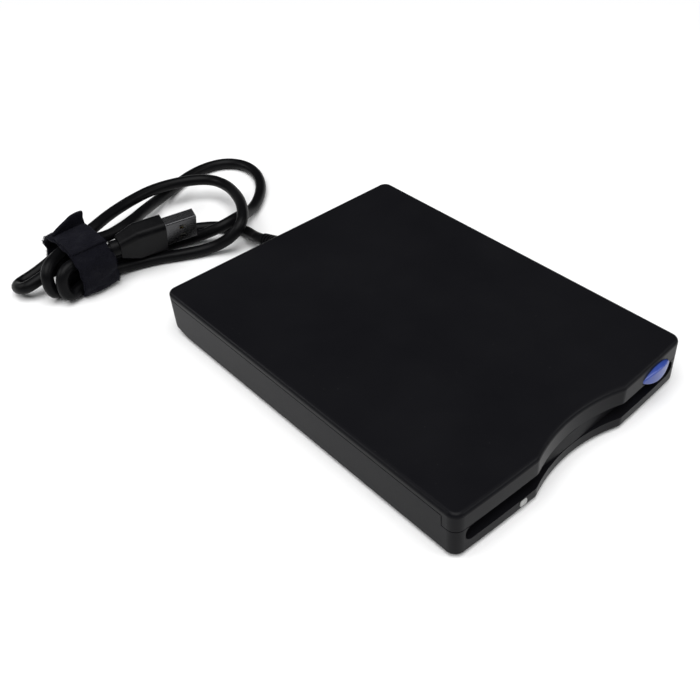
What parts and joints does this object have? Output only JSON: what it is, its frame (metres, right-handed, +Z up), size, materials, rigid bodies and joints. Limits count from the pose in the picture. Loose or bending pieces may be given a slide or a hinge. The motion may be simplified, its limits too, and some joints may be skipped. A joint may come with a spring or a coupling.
{
  "type": "external floppy disk drive",
  "caption": "Slim portable diskette drive with a wavy front, sprung slot door, eject button and tied-up USB cord.",
  "frame": {"origin": "centre of the case's footprint, on the surface the feet stand on", "axes": "+Y from the front edge with the slot to the rear edge with the cord, +Z up, +X to the right seen from the front"},
  "size_m": [0.1366, 0.2336, 0.0247],
  "materials": {
    "case_plastic": "fine texture, black",
    "door_plastic": "smooth satin, black",
    "button_blue": "satin blue",
    "lamp_clear": "clear moulded",
    "board_green": "solder mask",
    "steel_sheet": "zinc plated",
    "steel_black": "blackened",
    "steel_bright": "bright plated",
    "copper": "enamelled copper wire",
    "bronze": "sintered",
    "magnet_dark": "bonded ferrite",
    "inner_plastic": "moulded",
    "inner_white": "moulded, natural",
    "flex_amber": "polyimide film",
    "cord_rubber": "satin jacket",
    "strap_fabric": "looped pile",
    "foot_rubber": "matte",
    "gold": "gold plated"
  },
  "bodies": {
    "case": {"top_cover": "case_plastic", "bottom_case": "case_plastic", "case_screws": "steel_black", "door_spring": "steel_bright", "led_lens": "lamp_clear", "led_board": "board_green", "led_lamp": "lamp_clear", "mech_frame": "steel_sheet", "frame_screws": "steel_bright", "motor_board": "board_green", "stator_core": "steel_black", "motor_coils": "copper", "spindle_bearing": "bronze", "guide_rod_left": "steel_bright", "guide_rod_right": "steel_bright", "rod_clips": "steel_sheet", "stepper_motor": "steel_sheet", "screw_bearing": "bronze", "slide_spring_left": "steel_bright", "slide_spring_right": "steel_bright", "lever_post": "steel_bright", "lever_spring": "steel_bright", "interface_board": "board_green", "drive_board": "board_green", "board_chips": "inner_plastic", "cable_sockets": "inner_white", "flat_cable": "flex_amber", "head_flex": "flex_amber", "disk_switches": "inner_white", "cord_socket": "inner_white", "cord_tail": "cord_rubber", "strain_relief": "cord_rubber", "cord_lead": "cord_rubber", "cord_hank": "cord_rubber", "cable_strap": "strap_fabric", "plug_body": "cord_rubber", "plug_shell": "steel_bright", "plug_tongue": "inner_white", "plug_contacts": "gold", "foot_front_left": "foot_rubber", "foot_front_right": "foot_rubber", "foot_rear_left": "foot_rubber", "foot_rear_right": "foot_rubber"},
    "dust_door": {"dust_door": "door_plastic"},
    "eject_slider": {"eject_button": "button_blue", "slide_plate": "steel_sheet"},
    "carrier": {"disk_carrier": "steel_sheet", "carrier_pins": "steel_bright"},
    "carriage": {"head_carriage": "inner_plastic", "lower_head": "inner_white", "arm_pin": "steel_bright"},
    "head_arm": {"upper_arm": "inner_plastic", "upper_head": "inner_white"},
    "spindle": {"rotor_magnet": "magnet_dark", "spindle_hub": "steel_bright"},
    "head_screw": {"lead_screw": "steel_bright"},
    "shutter_lever": {"shutter_lever": "steel_sheet"}
  },
  "joints": [
    {"name": "door_hinge", "type": "hinge", "parent": "case", "child": "dust_door", "pos_m": [0, -0.06542, 0.0125], "axis": [1, 0, 0], "range_deg": [0, 88], "stiffness_Nm_per_rad": 0.0004, "springref_deg": -28.65, "deforming": ["door_spring"]},
    {"name": "eject_slide", "type": "slide", "parent": "case", "child": "eject_slider", "axis": [0, -1, 0], "range_m": [0, 0.0045], "deforming": ["slide_spring_left", "slide_spring_right"]},
    {"name": "carrier_drop", "type": "slide", "parent": "case", "child": "carrier", "axis": [0, 0, -1], "range_m": [0, 0.0023]},
    {"name": "arm_hinge", "type": "hinge", "parent": "carriage", "child": "head_arm", "pos_m": [0, 0.04849, 0.0096], "axis": [1, 0, 0], "range_deg": [0, 8.6]},
    {"name": "head_seek", "type": "slide", "parent": "case", "child": "carriage", "axis": [0, -1, 0], "range_m": [0, 0.0148], "deforming": ["head_flex"]},
    {"name": "screw_turn", "type": "hinge", "parent": "case", "child": "head_screw", "pos_m": [0.016, 0.04, 0.0089], "axis": [0, 1, 0], "range_deg": [0, 1777]},
    {"name": "spindle_turn", "type": "hinge", "parent": "case", "child": "spindle", "pos_m": [0, -0.02001, 0.005], "axis": [0, 0, 1], "continuous": true},
    {"name": "lever_swing", "type": "hinge", "parent": "case", "child": "shutter_lever", "pos_m": [-0.036, 0.02999, 0.0082], "axis": [0, 0, 1], "range_deg": [0, 54], "stiffness_Nm_per_rad": 0.0008, "springref_deg": -22.92, "deforming": ["lever_spring"]}
  ],
  "couplings": [
    {"joint": "carrier_drop", "follows": "eject_slide", "ratio": 0.48889},
    {"joint": "arm_hinge", "follows": "eject_slide", "rad_per_m": 33.072},
    {"joint": "screw_turn", "follows": "head_seek", "rad_per_m": 2094.4}
  ]
}
